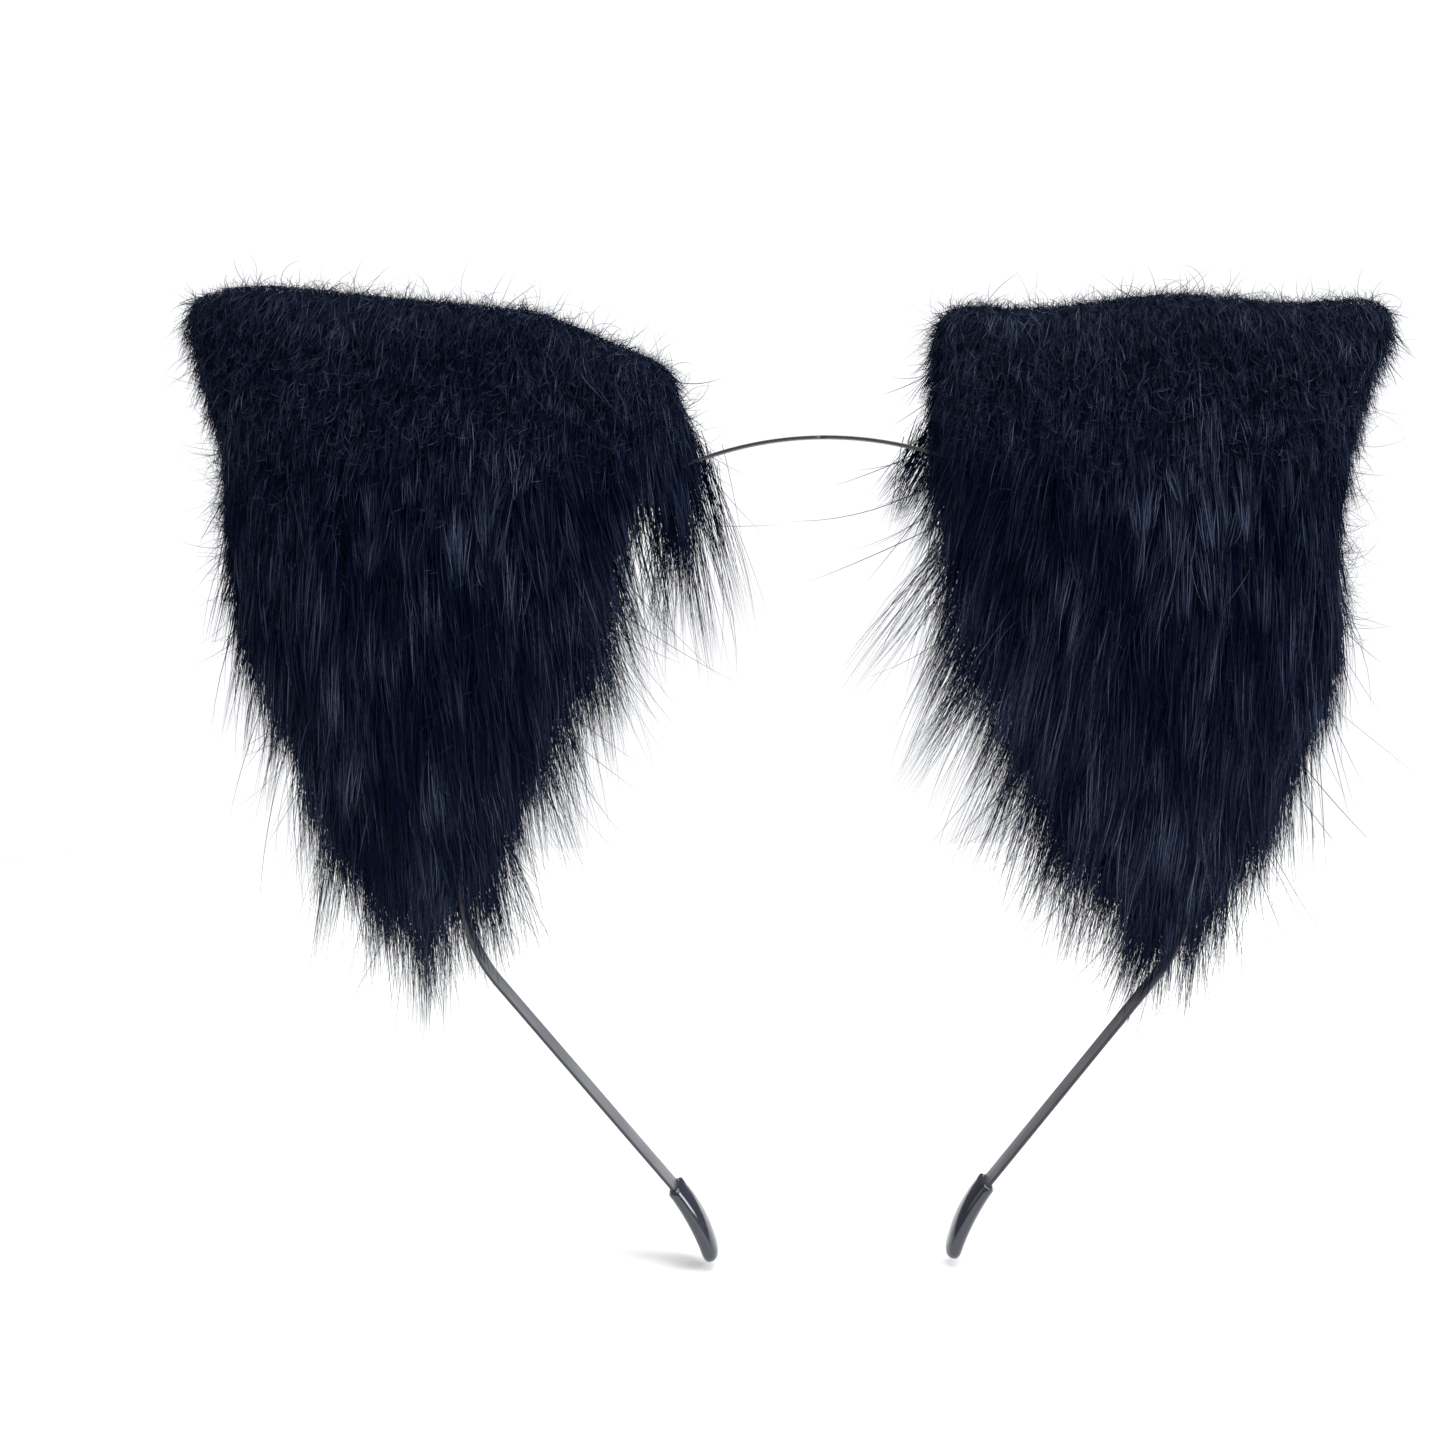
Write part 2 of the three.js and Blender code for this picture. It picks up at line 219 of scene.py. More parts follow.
class Finish:
    """A material with one Principled shader, and the methods that add nodes to it."""

    def __init__(self, name, **sockets):
        self.material = bpy.data.materials.new(name)
        self.material.use_nodes = True
        self.tree = self.material.node_tree
        self.shader = self.tree.nodes["Principled BSDF"]
        self.feed(**sockets)

    def node(self, kind, settings=None, values=None):
        """Adds a node: its settings first, then its sockets' values or links. Gives its outputs."""
        made = self.tree.nodes.new(kind)
        for key, setting in (settings or {}).items():
            setattr(made, key, setting)
        for key, value in (values or {}).items():
            self.put(made.inputs[key], value)
        return [Value(self, socket) for socket in made.outputs]

    def put(self, socket, value):
        if isinstance(value, Value):
            self.tree.links.new(value.socket, socket)
        else:
            socket.default_value = value

    def feed(self, **sockets):
        """Sets the shader's sockets, named with _ for a space."""
        for key, value in sockets.items():
            self.put(self.shader.inputs[key.replace("_", " ")], value)

    def place(self):
        """The piece's own place in metres, the node's Object output."""
        return self.node("ShaderNodeTexCoord")[3]

    def noise(self, scale, detail=3.0, vector=None):
        """Noise from 0 to 1 on the piece's own place in metres."""
        values = {"Vector": vector or self.place(), "Scale": scale, "Detail": detail}
        return self.node("ShaderNodeTexNoise", None, values)[0]

    def stretched(self, factors):
        """The piece's place, scaled by a factor on each axis."""
        values = {"Vector": self.place(), "Scale": factors}
        return self.node("ShaderNodeMapping", None, values)[0]

    def blend(self, share, low, high):
        """Colour from low to high by a share. Each colour is a value, or its red, green and blue."""
        low, high = (colour if isinstance(colour, Value) else (*colour, 1.0) for colour in (low, high))
        values = {0: share, 6: low, 7: high}
        return self.node("ShaderNodeMix", {"data_type": "RGBA"}, values)[2]

    def bump(self, height, strength, depth):
        values = {"Height": height, "Strength": strength, "Distance": depth}
        self.feed(Normal=self.node("ShaderNodeBump", None, values)[0])


def enamelled_steel():
    """Semi-gloss enamel on cut sheet, grey as painted reflection of the bright room on black enamel: fine
    orange peel, a little wear and dust in broad patches, and the narrow edges, at both ends of the strip's
    width, dark as painted shade."""
    steel = Finish("enamelled_steel", Metallic=0.25, Coat_Weight=0.2, Coat_Roughness=0.25)
    patches = steel.noise(90.0, 4.0)
    peel = steel.noise(2600.0, 2.0)
    # painted reflection: the broad faces are grey, lighter than the black enamel, and mottled by the wear
    # and dust patches
    face = steel.blend(patches.band(0.35, 0.7), (0.155, 0.16, 0.178), (0.21, 0.216, 0.236))
    width = steel.node("ShaderNodeSeparateXYZ", None, {0: steel.place()})[1].math("ABSOLUTE")
    # painted shade: the narrow edges at both ends of the strip's width are made dark
    edge = (width + patches * 0.0001).band(0.00232, 0.00246)
    steel.feed(Base_Color=steel.blend(edge, face, (0.035, 0.036, 0.042)), Roughness=patches * 0.16 + 0.34)
    steel.bump(peel, 0.25, 0.00004)
    return steel.material


def dipped_vinyl():
    """Glossy dipped vinyl: nearly black, with slow ripples left by the dipping and faint handling marks."""
    vinyl = Finish("dipped_vinyl", Coat_Weight=0.4, Coat_Roughness=0.05, Specular_IOR_Level=0.5)
    marks = vinyl.noise(700.0, 5.0)
    vinyl.feed(Base_Color=vinyl.blend(marks, (0.014, 0.017, 0.026), (0.024, 0.028, 0.042)))
    vinyl.feed(Roughness=marks.band(0.5, 0.75) * 0.16 + 0.12)
    vinyl.bump(vinyl.noise(260.0, 1.0), 0.3, 0.0002)
    return vinyl.material


def black_felt():
    """Pressed felt: short matted fibres in two directions over a broad mottle."""
    felt = Finish("black_felt", Sheen_Weight=0.4, Sheen_Roughness=0.6)
    fibres = felt.noise(2200.0, 4.0, felt.stretched((1.0, 1.0, 0.25)))
    crossed = felt.noise(2200.0, 4.0, felt.stretched((0.25, 1.0, 1.0)))
    both = (fibres + crossed) * 0.5
    felt.feed(Base_Color=felt.blend(both.band(0.35, 0.65), (0.006, 0.007, 0.009), (0.028, 0.03, 0.036)))
    felt.feed(Roughness=both * 0.15 + 0.82)
    felt.bump(both, 0.8, 0.0003)
    return felt.material


def sewing_thread():
    """Twisted thread: slanting plies with a soft shine."""
    thread = Finish("sewing_thread", Sheen_Weight=0.05, Specular_IOR_Level=0.2)
    values = {"Vector": thread.stretched((1.0, 0.6, 1.0)), "Scale": 900.0, "Distortion": 0.4}
    plies = thread.node("ShaderNodeTexWave", {"bands_direction": "DIAGONAL"}, values)[1]
    thread.feed(Base_Color=thread.blend(plies, (0.002, 0.003, 0.008), (0.010, 0.013, 0.026)))
    thread.feed(Roughness=plies * 0.2 + 0.55)
    thread.bump(plies, 0.7, 0.00015)
    return thread.material


def drawn_wire():
    """Bright drawn wire: streaks along its length and a few dull spots."""
    wire = Finish("drawn_wire", Metallic=1.0)
    streaks = wire.noise(1500.0, 3.0, wire.stretched((0.2, 2.0, 0.2)))
    wire.feed(Base_Color=wire.blend(streaks, (0.36, 0.37, 0.39), (0.58, 0.59, 0.61)))
    wire.feed(Roughness=streaks * 0.25 + 0.22)
    wire.bump(streaks, 0.2, 0.00003)
    return wire.material


def pelt_backing():
    """The knitted cloth that the pile grows from: rows of small loops, nearly black."""
    backing = Finish("pelt_backing", Specular_IOR_Level=0.1)
    values = {"Vector": backing.place(), "Scale": 420.0, "Distortion": 1.5}
    rows = backing.node("ShaderNodeTexWave", {"bands_direction": "Z"}, values)[1]
    loops = rows * 0.6 + backing.noise(1400.0, 3.0) * 0.4
    backing.feed(Base_Color=backing.blend(loops, (0.0004, 0.0011, 0.0055), (0.0014, 0.0032, 0.0120)))
    backing.feed(Roughness=loops * 0.1 + 0.88)
    backing.bump(loops, 0.6, 0.0005)
    return backing.material


HAIR_MAP = "OFBake"
HAIR_SHADES = 64


def fur_fibre(name, root, tip, roughness, rarity):
    """Fur fibre on the hair map: U is the fibre's shade, from dark to light, and V runs from its root to
    its tip. The higher the rarity, the fewer fibres are light. The light fibres, lightest towards the tip,
    are partly the fibres' own tone and partly painted highlight on the strands."""
    fibre = Finish(name, Specular_IOR_Level=0.11, Specular_Tint=(0.42, 0.66, 1.0, 1.0), Roughness=roughness)
    on_map = fibre.node("ShaderNodeUVMap", {"uv_map": HAIR_MAP})[0]
    across, along = fibre.node("ShaderNodeSeparateXYZ", None, {0: on_map})[:2]
    shade = (across * HAIR_SHADES).math("FLOOR") * (1 / (HAIR_SHADES - 1))
    # partly painted highlight: light fibres get the tip colour towards their tips, standing for glints on
    # the strands as well as their own tone
    fibre.feed(Base_Color=fibre.blend(along.band(0.1, 0.8) * (shade**rarity), root, tip))
    return fibre.material


# ---- the steel strip and its caps -----------------------------------------------------------------
def rounded_rectangle(width, height, radius, arc_points=4):
    """Points round a rectangle whose corners are quarter circles: (out, across) pairs."""
    angle = np.linspace(0, math.pi / 2, arc_points)
    arc = np.stack([np.cos(angle), np.sin(angle)], axis=-1) * radius
    corners = []
    for quarter in range(4):
        turn = quarter * math.pi / 2
        spin = np.array([[math.cos(turn), math.sin(turn)], [-math.sin(turn), math.cos(turn)]])
        signs = np.sign(np.array([1.0, 1.0]) @ spin)
        corners.append(arc @ spin + signs * (np.array([height, width]) / 2 - radius))
    return np.concatenate(corners)


def make_strip(side, finish):
    """Half of the steel strip, from the top to the end inside its cap: a rounded flat section carried
    along the bent line."""
    distance = np.arange(0, STRIP_HALF + STRIP_STEP / 2, STRIP_STEP)
    outline = rounded_rectangle(STRIP_WIDTH, STRIP_THICKNESS, STRIP_CORNER)
    section = np.repeat(outline[None], len(distance), axis=0)
    strip = lofted(f"strip_{side}", rings_on_strip(side, distance, section))
    strip.data.materials.append(finish)
    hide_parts(f"band_{side}", "band_crown")
    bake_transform(strip)


def make_cap(side, finish):
    """Vinyl cap on the strip's end. Its section is a rounded oval, whose wall is thicker on the strip's
    faces than on its edges. It starts inside the collar, turns over the lip, swells a little over the
    strip's end and closes in a dome."""
    wall, lip, dome = 0.82, 0.25, 2.0
    start = STRIP_HALF - 13.5
    end = STRIP_HALF + 1.5
    inside = np.linspace(3.0, 0.15, 6)
    body = np.linspace(lip, end - start - dome, 16)
    tip = np.linspace(0, math.pi / 2, 12)[1:] * 0.985
    along = np.concatenate([inside, [0.0], body, end - start - dome + dome * np.sin(tip)])
    swell = 0.12 * np.sin(np.clip((body - lip) / (end - start - dome), 0, 1) * math.pi)
    grow = np.concatenate([np.full(len(inside), 0.16), [wall * 0.55], wall + swell, np.full(len(tip), wall)])
    shrink = np.concatenate([np.ones(len(inside) + 1 + len(body)), np.cos(tip) ** 0.5])
    angle = np.linspace(0, 2 * math.pi, 32, endpoint=False)
    square = 2 / 2.35
    oval = np.stack([
        np.sign(np.cos(angle)) * np.abs(np.cos(angle)) ** square,
        np.sign(np.sin(angle)) * np.abs(np.sin(angle)) ** square,
    ], axis=-1)
    half = np.stack([STRIP_THICKNESS / 2 + grow * 1.5, STRIP_WIDTH / 2 + grow], axis=-1) * shrink[:, None]
    section = oval[None] * half[:, None, :]
    cap = lofted(f"cap_{side}", rings_on_strip(side, start + along, section))
    cap.data.materials.append(finish)
    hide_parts(f"tip_cap_{side}")
    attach(cap, f"{side}_side")


# ---- the pelts ------------------------------------------------------------------------------------
def smooth_loop(points, count):
    """A closed Catmull-Rom curve through the points, at count even places along it."""
    points = np.asarray(points, float)
    share = np.linspace(0, 1, 12, endpoint=False)[None, :, None]
    before, here, after, beyond = (np.roll(points, shift, axis=0)[:, None, :] for shift in (1, 0, -1, -2))
    curve = 0.5 * (
        2 * here
        + (after - before) * share
        + (2 * before - 5 * here + 4 * after - beyond) * share**2
        + (3 * here - before - 3 * after + beyond) * share**3
    ).reshape(-1, 2)
    closed = np.concatenate([curve, curve[:1]])
    run = np.concatenate(([0.0], np.cumsum(np.linalg.norm(np.diff(closed, axis=0), axis=1))))
    places = np.linspace(0, run[-1], count, endpoint=False)
    return np.stack([np.interp(places, run, closed[:, axis]) for axis in (0, 1)], axis=-1)


class Outline:
    """An ear's outline seen from its centre: how far the edge is in each direction."""

    def __init__(self, side):
        self.edge = smooth_loop(OUTLINES[side], 720)
        spokes = self.edge - PELT_CENTRE
        angle = np.arctan2(spokes[:, 1], spokes[:, 0])
        order = np.argsort(angle)
        self.angle = angle[order]
        self.reach = np.linalg.norm(spokes, axis=1)[order]

    def share(self, xz):
        """0 at the centre and 1 on the edge."""
        spokes = xz - PELT_CENTRE
        angle = np.arctan2(spokes[..., 1], spokes[..., 0])
        reach = np.interp(angle, self.angle, self.reach, period=2 * math.pi)
        return np.linalg.norm(spokes, axis=-1) / reach

    def depth(self, xz):
        """How far the pelt stands from the middle plane: full in the middle and rounding off to the edge,
        with soft hollows where the cloth has creased."""
        share = np.clip(self.share(xz), 0, 1)
        slant = xz[..., 0] * 0.62 + xz[..., 1] * 0.78
        level = xz[..., 1] - 0.15 * xz[..., 0]
        hollows = 0.09 * np.sin(slant / 7.5) + 0.10 * np.sin(level / 9.0 + 1.0) * np.sin(xz[..., 0] / 14.0)
        return PELT_HALF_DEPTH * (0.88 + hollows) * (1 - share**PELT_EDGE_POWER) ** (1 / PELT_FACE_POWER)


def make_pelt(side, outline, finish):
    """The pelt's padded body: rings shrink from the edge to the centre on the front and on the back, each
    standing out by a little less than the outline's depth. Light pressure in a cloth simulation then fills
    it, up to where the hair starts."""
    around, rings, slack = 120, 14, 2.2
    turn = np.sin(np.linspace(0, math.pi / 2, rings))[1:]
    edge = smooth_loop(OUTLINES[side], around)
    inner = PELT_CENTRE + (edge - PELT_CENTRE)[None] * turn[:, None, None]
    full = outline.depth(inner)
    depth = np.maximum(full - slack, 0.65 * full)
    front = np.stack([inner[..., 0], -depth, inner[..., 1]], axis=-1)
    back = np.stack([inner[..., 0], depth, inner[..., 1]], axis=-1)[-2::-1]
    loops = np.concatenate([front, back]) * np.array([SIDES[side], 1.0, 1.0])
    pelt = lofted(f"ear_pelt_{side}", loops)
    fill_with_pressure(pelt)
    pelt.data.materials.append(finish)
    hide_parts(*(f"{name}_{side}" for name in PELT_NODES))
    bend_with_ear(pelt)


def fill_with_pressure(piece):
    """Remeshes the piece evenly, blows it up slightly as cloth, and keeps each point within a cap."""
    voxel, cap, pressure, frames = 0.0025, 0.0012, 4.0, 20
    remesh = piece.modifiers.new("even", "REMESH")
    remesh.mode = "VOXEL"
    remesh.voxel_size = voxel
    apply_all(piece)
    start = points_of(piece)
    cloth = piece.modifiers.new("cloth", "CLOTH")
    cloth.settings.use_pressure = True
    cloth.settings.uniform_pressure_force = pressure
    cloth.settings.effector_weights.gravity = 0.0
    cloth.settings.quality = 5
    cloth.settings.tension_stiffness = 25.0
    cloth.settings.compression_stiffness = 25.0
    cloth.settings.bending_stiffness = 2.0
    scene = bpy.context.scene
    for number in range(1, frames + 1):
        scene.frame_set(number)
    apply_all(piece)
    scene.frame_set(1)
    moved = points_of(piece) - start
    far = np.linalg.norm(moved, axis=1, keepdims=True)
    kept = start + moved * np.minimum(1, cap / np.maximum(far, 1e-9))
    piece.data.vertices.foreach_set("co", kept.ravel())
    finer = piece.modifiers.new("finer", "SUBSURF")
    finer.levels = finer.render_levels = 1
    apply_all(piece)


def points_of(piece):
    points = np.empty(len(piece.data.vertices) * 3, dtype=np.float32)
    piece.data.vertices.foreach_get("co", points)
    return points.reshape(-1, 3)


def apply_all(piece):
    """Makes what the modifiers show the piece's own mesh."""
    shown = piece.evaluated_get(bpy.context.evaluated_depsgraph_get())
    mesh = bpy.data.meshes.new_from_object(shown)
    piece.modifiers.clear()
    piece.data = mesh
    mesh.polygons.foreach_set("use_smooth", np.ones(len(mesh.polygons), dtype=bool))


def fold_line(side):
    """The middle of the line that an ear tilts about, and the direction out from it, away from the head."""
    tilt = JOINTS[f"{side}_ear_tilt"]
    axis = np.array(tilt["axis"])
    return np.array(tilt["pos_m"]), np.array([abs(axis[2]) * SIDES[side], 0.0, abs(axis[0])])


def bend_with_ear(piece):
    """Bakes the piece's placement into its mesh points."""
    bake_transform(piece)


# ---- what the pelts hide --------------------------------------------------------------------------
def make_ear_core(side, finish):
    """The felt inside the ear and its base: the ear's outline drawn in, flat, with a rounded edge."""
    inset, half = 0.86, 1.3
    edge = smooth_loop(OUTLINES[side], 160)
    sizes = np.array([0.02, 0.5, 0.96, 1.0, 1.0, 0.96, 0.5, 0.02])
    heights = np.array([-1, -1, -1, -0.5, 0.5, 1, 1, 1]) * half
    rings = PELT_CENTRE + (edge - PELT_CENTRE)[None] * sizes[:, None, None] * inset
    heights = np.repeat(heights[:, None], len(edge), axis=1)
    loops = np.stack([SIDES[side] * rings[..., 0], heights, rings[..., 1]], axis=-1)
    core = lofted(f"felt_core_{side}", loops)
    core.data.materials.append(finish)
    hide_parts(f"felt_front_{side}", f"felt_back_{side}", f"base_tab_{side}")
    bend_with_ear(core)


def tube(name, route_points, radius, sides=8):
    """A round tube through points in the X-Z plane, in millimetres, closed at both ends."""
    tangent = np.gradient(route_points, axis=0)
    tangent /= np.linalg.norm(tangent, axis=1, keepdims=True)
    normal = np.stack([tangent[:, 1], -tangent[:, 0]], axis=-1)
    angle = np.linspace(0, 2 * math.pi, sides, endpoint=False)
    xz = route_points[:, None] + normal[:, None] * (radius * np.cos(angle))[None, :, None]
    y = np.broadcast_to(radius * np.sin(angle), xz.shape[:2])
    return lofted(name, np.stack([xz[..., 0], y, xz[..., 1]], axis=-1))


# How far along the strip each sleeve ends, still inside its pelt
SLEEVE_END = {"left": 106.0, "right": 95.0}


def make_sleeve(side, felt_finish, thread_finish):
    """The felt sleeve round the strip, and the four hand stitches that gather it: each stitch is a closed
    loop round the sleeve, with its thread's thickness."""
    wall, end = 0.8, SLEEVE_END[side]
    distance = np.linspace(31, end, 60)
    oval = rounded_rectangle(STRIP_WIDTH + 2 * wall, STRIP_THICKNESS + 2 * wall, 0.9)
    grow = np.sin(np.linspace(0.2, math.pi - 0.2, len(distance))) ** 0.15
    sleeve = lofted(f"sleeve_{side}", rings_on_strip(side, distance, oval[None] * grow[:, None, None]))
    sleeve.data.materials.append(felt_finish)
    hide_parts(f"base_sleeve_{side}")
    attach(sleeve, f"{side}_side")
    for number, place in enumerate((38, 57, 76, end - 7), 1):
        turn = np.linspace(0, math.pi, 9)
        distance = place - 0.4 * np.cos(turn)
        around = oval[None] * (1.01 + 0.14 * np.sin(turn))[:, None, None]
        stitch = lofted(f"stitch_loop_{side}_{number}", rings_on_strip(side, distance, around))
        stitch.data.materials.append(thread_finish)
        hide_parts(f"stitch_{side}_{number}")
        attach(stitch, f"{side}_side")


def make_wire_and_seam(side, wire_finish, thread_finish):
    """The bent wire that holds the ear's shape and the thread that closes its edge: both follow the
    outline beyond the fold line, the wire well inside it and the seam close to it."""
    middle, out = fold_line(side)
    edge = smooth_loop(OUTLINES[side], 240)
    for name, inset, radius, finish, clear in (
        ("ear_wire", 0.82, 0.6, wire_finish, 5.0),
        ("edge_seam", 0.96, 0.35, thread_finish, 2.0),
    ):
        line = (PELT_CENTRE + (edge - PELT_CENTRE) * inset) * np.array([SIDES[side], 1.0])
        beyond = (line - middle[::2] / MM) @ out[::2] > clear
        piece = tube(f"{name}_run_{side}", line[beyond], radius)
        piece.data.materials.append(finish)
        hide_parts(f"{name}_{side}")
        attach(piece, f"{side}_ear")


# ---- hair -----------------------------------------------------------------------------------------
def between(low, high, value):
    """0 where value is at low, 1 at high, smooth in between. low may be above high."""
    share = np.clip((value - low) / (high - low), 0, 1)
    return share * share * (3 - 2 * share)


def hair_length(x, z):
    """Millimetres: clipped short round the tip and the top edge, long at the base and inner side."""
    lower = between(10, -34, z)
    inner = between(54, 28, x) * between(14, -12, z)
    bottom = between(-50, -80, z)
    return 6.0 + 15.0 * lower + 6.0 * inner - 4.0 * bottom


# How far the pile leans outwards on the inner side, in the middle and on the outer side, in degrees
LEAN = {"left": (-27.0, -7.0, 1.0), "right": (-22.0, -5.0, 3.0)}


def hair_lean(side, x, z):
    """Radians from straight down, positive outwards: the pile fans towards the head on the inner side."""
    inner, middle, outer = LEAN[side]
    degrees = np.interp(x + 0.25 * z, (10.0, 55.0, 95.0), (inner, middle, outer))
    return np.radians(degrees)


def roots_in(outline, rng, count, edge_share):
    """Even random places inside the outline; edge_share of them crowd towards the edge."""
    turn = rng.uniform(-math.pi, math.pi, count * 3)
    reach = np.interp(turn, outline.angle, outline.reach, period=2 * math.pi)
    keep = rng.uniform(0, 1, count * 3) < (reach / outline.reach.max()) ** 2
    turn, reach = turn[keep][:count], reach[keep][:count]
    share = np.sqrt(rng.uniform(0, 1, len(turn)))
    near_edge = rng.uniform(0, 1, len(turn)) < edge_share
    share = np.where(near_edge, 1 - 0.16 * rng.uniform(0, 1, len(turn)) ** 1.5, share)
    return PELT_CENTRE + np.stack([np.cos(turn), np.sin(turn)], axis=-1) * (reach * share)[:, None]


def route(outline, roots, lean, length, lift, face, steps, sag):
    """Hair lines: each runs along its lean over the pelt, rises from it by its lift, clears the strip's
    edge where the pelt is thin, and past the outline comes back to the middle plane by a fixed slope."""
    share = np.linspace(0, 1, steps + 1)[None]
    turned = lean[:, None] * (1 - sag * share)
    step = length[:, None] / steps
    nothing = np.zeros((len(roots), 1))
    x = roots[:, :1] + np.concatenate([nothing, np.cumsum(np.sin(turned[:, 1:]) * step, axis=1)], axis=1)
    z = roots[:, 1:] - np.concatenate([nothing, np.cumsum(np.cos(turned[:, 1:]) * step, axis=1)], axis=1)
    place = np.stack([x, z], axis=-1)
    depth = np.maximum(outline.depth(place), 3.5 * between(1.0, 0.93, outline.share(place)))
    for k in range(1, steps + 1):
        depth[:, k] = np.maximum(depth[:, k], depth[:, k - 1] - 0.22 * step[:, 0])
    rise = lift[:, None] * (1 - (1 - share) ** 2)
    y = face * (np.maximum(depth - 0.8, 0) + rise)
    return np.stack([x, y, z], axis=-1)


def gathered(lines, clumps, clump_lines, pull):
    """Draws each hair towards the middle hair of its clump, more towards the tip. Gives the new lines and
    which clump each hair is in."""
    nearest = np.empty(len(lines), dtype=int)
    for part in np.array_split(np.arange(len(lines)), 1 + len(lines) // 2000):
        gap = lines[part, 0, None, ::2] - clumps[None]
        nearest[part] = np.argmin((gap**2).sum(axis=-1), axis=1)
    share = np.linspace(0, 1, lines.shape[1])[None, :, None] ** 1.3
    middle = clump_lines[nearest]
    return lines + (middle - lines) * share * pull[:, None, None], nearest


def ribbons(name, side, lines, width, shade, rng, finish):
    """Hairs as tapering flat ribbons: width[i] across at the root of line i, one point at its tip, and
    shade[i] from 0, dark, to 1, light."""
    lines = lines * np.array([SIDES[side], 1.0, 1.0])
    count, rings = lines.shape[:2]
    tangent = np.gradient(lines, axis=1)
    tangent /= np.linalg.norm(tangent, axis=-1, keepdims=True) + 1e-9
    roll = rng.uniform(-1.1, 1.1, count)[:, None, None]
    flat = np.cross(tangent, np.array([0.0, 1.0, 0.0]))
    flat /= np.linalg.norm(flat, axis=-1, keepdims=True) + 1e-9
    across = flat * np.cos(roll) + np.cross(tangent, flat) * np.sin(roll)
    taper = (1 - np.linspace(0, 1, rings) ** 2.4)[None, :, None] * width[:, None, None] / 2
    low, high = lines - across * taper, lines + across * taper
    pairs = np.stack([low[:, :-1], high[:, :-1]], axis=2).reshape(count, -1, 3)
    points = np.concatenate([pairs, lines[:, -1:]], axis=1)
    size = points.shape[1]
    first = (np.arange(count) * size)[:, None]
    k = 2 * np.arange(rings - 2)[None]
    quads = np.stack([first + k, first + k + 1, first + k + 3, first + k + 2], axis=-1).reshape(-1, 4)
    tips = np.concatenate([first + size - 3, first + size - 2, first + size - 1], axis=1)
    piece = new_mesh(name, points.reshape(-1, 3), [quads, tips])
    write_hair_map(piece.data, shade, rings)
    piece.data.materials.append(finish)
    bend_with_ear(piece)
    return piece


def write_hair_map(mesh, shade, rings):
    """The hair map: a hair's U stays in the column of its shade, and V runs from 0 at its root to 1."""
    count = len(shade)
    column = np.clip(shade * HAIR_SHADES, 0, HAIR_SHADES - 1).astype(int)
    left = (column + 0.25) / HAIR_SHADES
    right = (column + 0.75) / HAIR_SHADES
    place = np.linspace(0, 1, rings)
    low, high = place[:-2], place[1:-1]
    shape = (count, rings - 2)
    u = np.stack([np.broadcast_to(side[:, None], shape) for side in (left, right, right, left)], axis=-1)
    v = np.stack([np.broadcast_to(end[None], shape) for end in (low, low, high, high)], axis=-1)
    tip_u = np.stack([left, right, (left + right) / 2], axis=-1)
    tip_v = np.broadcast_to(np.array([place[-2], place[-2], 1.0]), (count, 3))
    quads = np.stack([u, v], axis=-1).reshape(-1, 2)
    tips = np.stack([tip_u, tip_v], axis=-1).reshape(-1, 2)
    layer = mesh.uv_layers.new(name=HAIR_MAP)
    layer.uv.foreach_set("vector", np.concatenate([quads, tips]).astype(np.float32).ravel())


def coat(name, side, outline, seed, face, count, clump_count, finish, **look):
    """One coat of hair on a face of an ear: roots spread over the outline, lengths and leans by place,
    and each clump with its own length, lean and lift."""
    rng = np.random.default_rng(seed)
    pull, width, lift, scale, spread = (look[key] for key in ("pull", "width", "lift", "scale", "spread"))
    clumps = roots_in(outline, rng, clump_count, 0.35)
    ragged = between(0.55, 0.95, outline.share(clumps)) * between(5, -20, clumps[:, 1])
    size = (1 + rng.uniform(-0.28, 0.25, len(clumps)) * (1 + ragged)) * scale
    tilt = rng.normal(0, spread, len(clumps))
    clump_lines = route(outline, clumps, hair_lean(side, *clumps.T) + tilt, hair_length(*clumps.T) * size,
                        np.full(len(clumps), lift), face, look["steps"], 0.35)
    roots = roots_in(outline, rng, count, 0.3)
    loose = 1.1 + 2.2 * between(0, 20, roots[:, 1])
    loose += 3.0 * (rng.uniform(0, 1, len(roots)) < 0.08)
    lean = hair_lean(side, *roots.T) + rng.normal(0, spread, len(roots)) * loose
    length = hair_length(*roots.T) * scale * rng.uniform(0.7, 1.15, len(roots))
    lines = route(outline, roots, lean, length, lift * rng.uniform(0.3, 1.4, len(roots)), face,
                  look["steps"], 0.35)
    strength = pull * rng.uniform(0.5, 1.0, len(roots)) * between(18, -12, roots[:, 1])
    lines, own = gathered(lines, clumps, clump_lines, strength)
    # painted sheen: broad lighter patches where the pile bends; the clumps' and hairs' random lightness is
    # partly own tone and partly painted highlight
    sheen = 0.09 * np.sin(roots[:, 0] / 8.0) * np.sin(roots[:, 1] / 10.0 + 2.0)
    shade = 0.4 * rng.uniform(0, 1, len(clumps))[own] + 0.6 * rng.uniform(0, 1, len(roots)) + sheen
    width = rng.uniform(*width, len(roots)) * (0.7 + 0.3 * between(10, -14, roots[:, 1]))
    return ribbons(f"{name}_{side}", side, lines, width, shade, rng, finish)


